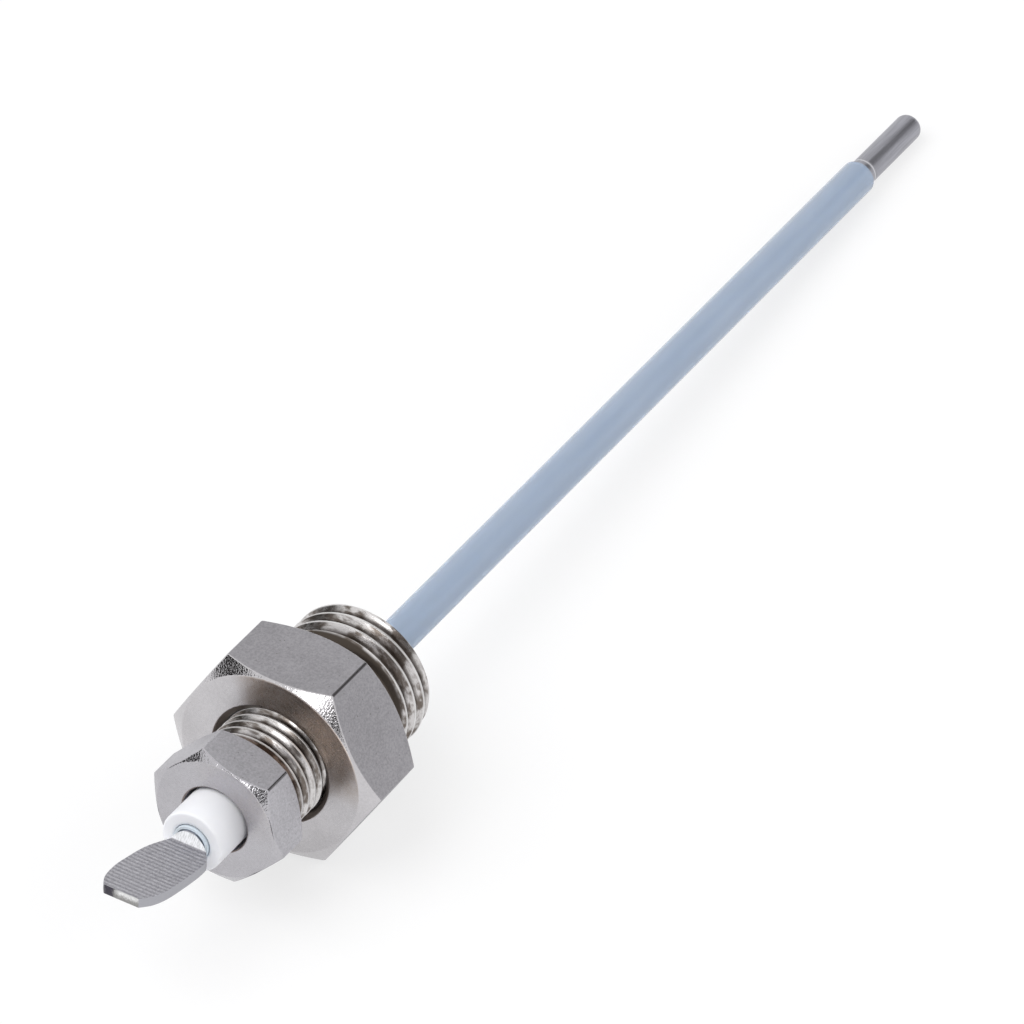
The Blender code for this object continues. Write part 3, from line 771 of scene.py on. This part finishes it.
rod_rows = []
for step in range(TIP_STEPS + 1):
    angle = math.pi / 2 * step / TIP_STEPS
    rod_rows.append((ROD_TIP + ROD_TIP_ROUNDING * (1 - math.cos(angle)),
                     ROD_GROUND_RADIUS - ROD_TIP_ROUNDING * (1 - math.sin(angle))))
rod_rows += [(ROD_TIP + 1.0, ROD_GROUND_RADIUS), (ROD_GROUND_START - 0.3, ROD_GROUND_RADIUS),
             (ROD_GROUND_START, ROD_GROUND_RADIUS), (ROD_GROUND_START + 0.03, ROD_RADIUS),
             (ROD_GROUND_START + 0.2, ROD_RADIUS), (0.0, ROD_RADIUS), (SHOULDER - 0.3, ROD_RADIUS),
             (SHOULDER, ROD_RADIUS)]
electrode_rows = [electrode_ring(level, radius, radius, radius, 0.0, 0.0) for level, radius in rod_rows]
root_left, root_right = TAB_OUTLINE[0][1:]
for step in range(1, SHOULDER_STEPS + 1):
    share = step / SHOULDER_STEPS
    electrode_rows.append(electrode_ring(
        SHOULDER + share * (TAB_ROOT - SHOULDER), ROD_RADIUS,
        ROD_RADIUS + (TAB_HALF_THICKNESS - ROD_RADIUS) * share,
        ROD_RADIUS + ((root_left + root_right) / 2 - ROD_RADIUS) * share, 0.0,
        (root_left - root_right) / 2 * share, share))
stations = int(TAB_LENGTH / SERRATION_PITCH * SERRATION_STEPS)
for step in range(1, stations + 1):
    electrode_rows.append(tab_ring((1.0 - TAB_TIP_CHAMFER / TAB_LENGTH) * step / stations))
electrode_rows.append(tab_ring(1.0, TAB_TIP_CHAMFER))
for row in electrode_rows:
    along = row[0].z - TAB_ROOT
    if 0.1 < along < TAB_LENGTH - 0.4:
        wave = 0.5 - 0.5 * math.cos(2 * math.pi * along / SERRATION_PITCH)
        for index, point in enumerate(row):
            within = index % (FACE_STEPS + EDGE_STEPS)
            from_edge = min(within, FACE_STEPS - within)
            if from_edge > 0:
                press = SERRATION_DEPTH * wave * min(from_edge / 2, 1.0)
                point.x -= math.copysign(press, point.x - along * TAB_RISE)
shape = bmesh.new()
tip_ring, cut_ring = skin(shape, electrode_rows)
shape.faces.new(list(reversed(tip_ring)))
shape.faces.new(cut_ring)

steel = Finish("stainless_wire")
on_tab = steel.level.step(TAB_ROOT - 0.06, TAB_ROOT + 0.04)
on_shoulder = steel.level.step(SHOULDER, SHOULDER + 0.08) * (1 - on_tab)
on_tip = steel.level.step(TAB_ROOT + TAB_LENGTH - 0.17, TAB_ROOT + TAB_LENGTH - 0.13)
pressed_face = abs(steel.toward(over)).step(0.2, 0.5) * on_tab
at_ring = 1 - abs(steel.level - ROD_GROUND_START).step(0.05, 0.16)
pulled = steel.noise(5.0, 3.0, 0.6, steel.stretched(1.0, 1.0, 0.05))
dots = steel.noise(7.0, 3.0, 0.7)
creases = steel.noise(9.0, 2.0, 0.6, steel.stretched(0.25, 1.0, 0.25))
wave = steel.start.math("COSINE", (steel.level - TAB_ROOT) * (2 * math.pi / SERRATION_PITCH)) * 0.5 + 0.5
colour = pulled.step(0.3, 0.7).colours((0.30, 0.30, 0.33), (0.38, 0.38, 0.42))
colour = (at_ring * 0.8).colours(colour, (0.80, 0.80, 0.83))
# Painted highlight: the pressed shoulder is near white, with crease streaks through it.
crushed_with_highlight = creases.step(0.30, 0.70).colours((0.62, 0.63, 0.65), (0.90, 0.91, 0.94))
colour = on_shoulder.colours(colour, crushed_with_highlight)
colour = on_tab.colours(colour, (0.42, 0.42, 0.45))
worn_ribs = steel.noise(5.0, 3.0, 0.7, steel.stretched(1.0, 0.5, 1.0)).step(0.36, 0.64)
# Serrated faces: lighter on the ridges and darker in the grooves as painted shade, with worn, spotted
# ridges.
ribs_with_groove_shade = (wave * 0.3 + worn_ribs * wave * 0.3 + dots.step(0.36, 0.64) * 0.4).colours(
    (0.25, 0.245, 0.27), (0.56, 0.555, 0.59))
colour = pressed_face.colours(colour, ribs_with_groove_shade)
from_middle = steel.y - TAB_LENGTH * TAB_SKEW
# Cut end: the torn side is painted near black as shade, and the upper lip carries a painted highlight.
torn_side_shade = (from_middle + dots * 0.8).step(0.9, 1.3)
lip_highlight = (steel.x - TAB_LENGTH * TAB_RISE + dots * 0.9).step(0.30, 0.85)
lip_highlight = lip_highlight * (1 - (from_middle + dots * 0.6).step(0.3, 1.2))
cut_face_with_highlight = (lip_highlight * 0.8 + dots * 0.2).colours((0.24, 0.235, 0.23), (0.80, 0.80, 0.80))
colour = on_tip.colours(colour, torn_side_shade.colours(cut_face_with_highlight, (0.07, 0.065, 0.08)))
stainless = steel.paint({
    "Base Color": colour,
    "Roughness": 0.32 + on_tab * 0.10 - on_tip * 0.12 + dots * 0.06,
    "Normal": steel.bump(pulled * (1 - on_tab) + worn_ribs * on_tab * 2.0 + dots * on_tip * 6.0, 0.000004),
}, {"Metallic": 1.0})
finish_piece("electrode_with_tab", shape, stainless, "probe", "electrode_rod")

# Studio: a plain pale table under the probe, soft lamps over it, and the camera at the angle of the
# photograph. The table goes to white away from the probe's own soft shadow. Sizes here are in metres.
FLOOR_REACH = 1.5
FLOOR_GLOW = 0.68
WORLD_LIGHT = 0.55
WORLD_SEEN = 0.45
CARD_DISTANCE = 0.6
CAMERA_LENS = 263.67
CAMERA_PLACE = (-0.42261, -0.23461, 0.41548)
CAMERA_TURN = (49.5034, -1.0146, -59.7332)


def in_view(start):
    """1 for rays that the camera sees, straight, mirrored or through the sheath, and 0 for others."""
    rays = start.node("ShaderNodeLightPath", {}, {}, "Is Camera Ray")
    return rays.most(rays.also("Is Glossy Ray")).most(rays.also("Is Transmission Ray"))


def square(name, size, placed=Matrix()):
    """Mesh of a flat square, moved by a matrix."""
    mesh = bpy.data.meshes.new(name)
    square_shape = bmesh.new()
    bmesh.ops.create_grid(square_shape, x_segments=1, y_segments=1, size=size / 2)
    square_shape.transform(placed)
    square_shape.to_mesh(mesh)
    square_shape.free()
    return mesh


floor = put_in_scene("table_top", square("table_top", 2 * FLOOR_REACH))
floor.location.z = cad_low.z
floor_material = bpy.data.materials.new("table_white")
floor_material.use_nodes = True
floor_tree = floor_material.node_tree
floor_start = Reading(floor_tree)
floor_shader = floor_tree.nodes["Principled BSDF"]
floor_shader.inputs["Base Color"].default_value = (0.86, 0.86, 0.87, 1.0)
floor_shader.inputs["Roughness"].default_value = 0.9
floor_shader.inputs["Specular IOR Level"].default_value = 0.0
glow = floor_start.node("ShaderNodeEmission", {}, {"Color": (1.0, 1.0, 1.0, 1.0), "Strength": 1.04})
floor_mix = floor_start.node("ShaderNodeMixShader", {}, {
    0: in_view(floor_start) * FLOOR_GLOW, 1: Reading(floor_tree, floor_shader.outputs[0]), 2: glow})
floor_tree.links.new(floor_mix.socket, floor_tree.nodes["Material Output"].inputs["Surface"])
floor.data.materials.append(floor_material)

world = bpy.data.worlds.new("studio_air")
world.use_nodes = True
bpy.context.scene.world = world
world_brightness = in_view(Reading(world.node_tree)) * WORLD_SEEN + WORLD_LIGHT
background = world.node_tree.nodes["Background"]
background.inputs["Color"].default_value = (1.0, 1.0, 1.0, 1.0)
world.node_tree.links.new(world_brightness.socket, background.inputs["Strength"])


def soft_lamp(name, lamp_place, power, size):
    """Square studio lamp that looks at the middle of the probe and isn't mirrored in its metal."""
    lamp = bpy.data.lights.new(name, "AREA")
    lamp.energy = power
    lamp.size = size
    lamp_object = put_in_scene(name, lamp)
    lamp_object.location = lamp_place
    lamp_object.visible_glossy = False
    lamp_object.rotation_euler = (-Vector(lamp_place)).to_track_quat("-Z", "Y").to_euler()


soft_lamp("key_lamp", (-0.30, 0.25, 0.55), 3.2, 0.60)
soft_lamp("side_lamp", (0.45, -0.50, 0.35), 2.2, 0.70)


def card(name, direction, size, brightness):
    """Square card seen only in the metal: a black one makes dark stretches, a lit one glints."""
    away = Vector(direction).normalized()
    turned = (-away).to_track_quat("Z", "Y").to_matrix().to_4x4()
    card_mesh = square(name, size, Matrix.Translation(sealing_face + away * CARD_DISTANCE) @ turned)
    paper = bpy.data.materials.new(name)
    paper.use_nodes = True
    shader = paper.node_tree.nodes["Principled BSDF"]
    shader.inputs["Base Color"].default_value = (0.02, 0.018, 0.018, 1.0)
    shader.inputs["Specular IOR Level"].default_value = 0.0
    shader.inputs["Emission Color"].default_value = (1.0, 1.0, 1.0, 1.0)
    shader.inputs["Emission Strength"].default_value = brightness
    card_mesh.materials.append(paper)
    hung = put_in_scene(name, card_mesh)
    hung.visible_camera = False
    hung.visible_diffuse = False
    hung.visible_shadow = False
    hung.visible_transmission = False


card("card_over", (0.748, -0.335, 0.574), 0.44, 0.25)
card("card_by_camera", (-0.89, -0.37, 0.25), 0.17, 0.0)
card("card_far_side", (-0.544, 0.816, 0.204), 0.24, 0.0)
card("card_glint", (-0.875, -0.02, 0.47), 0.18, 4.0)

camera_data = bpy.data.cameras.new("camera")
camera_data.sensor_width = 36.0
camera_data.lens = CAMERA_LENS
camera_data.clip_start = 0.01
camera_data.clip_end = 10.0
camera = put_in_scene("camera", camera_data)
camera_turn = Euler([math.radians(angle) for angle in CAMERA_TURN])
camera.matrix_world = Matrix.Translation(CAMERA_PLACE) @ camera_turn.to_matrix().to_4x4()
bpy.context.scene.camera = camera
bpy.context.scene.view_settings.view_transform = "Standard"
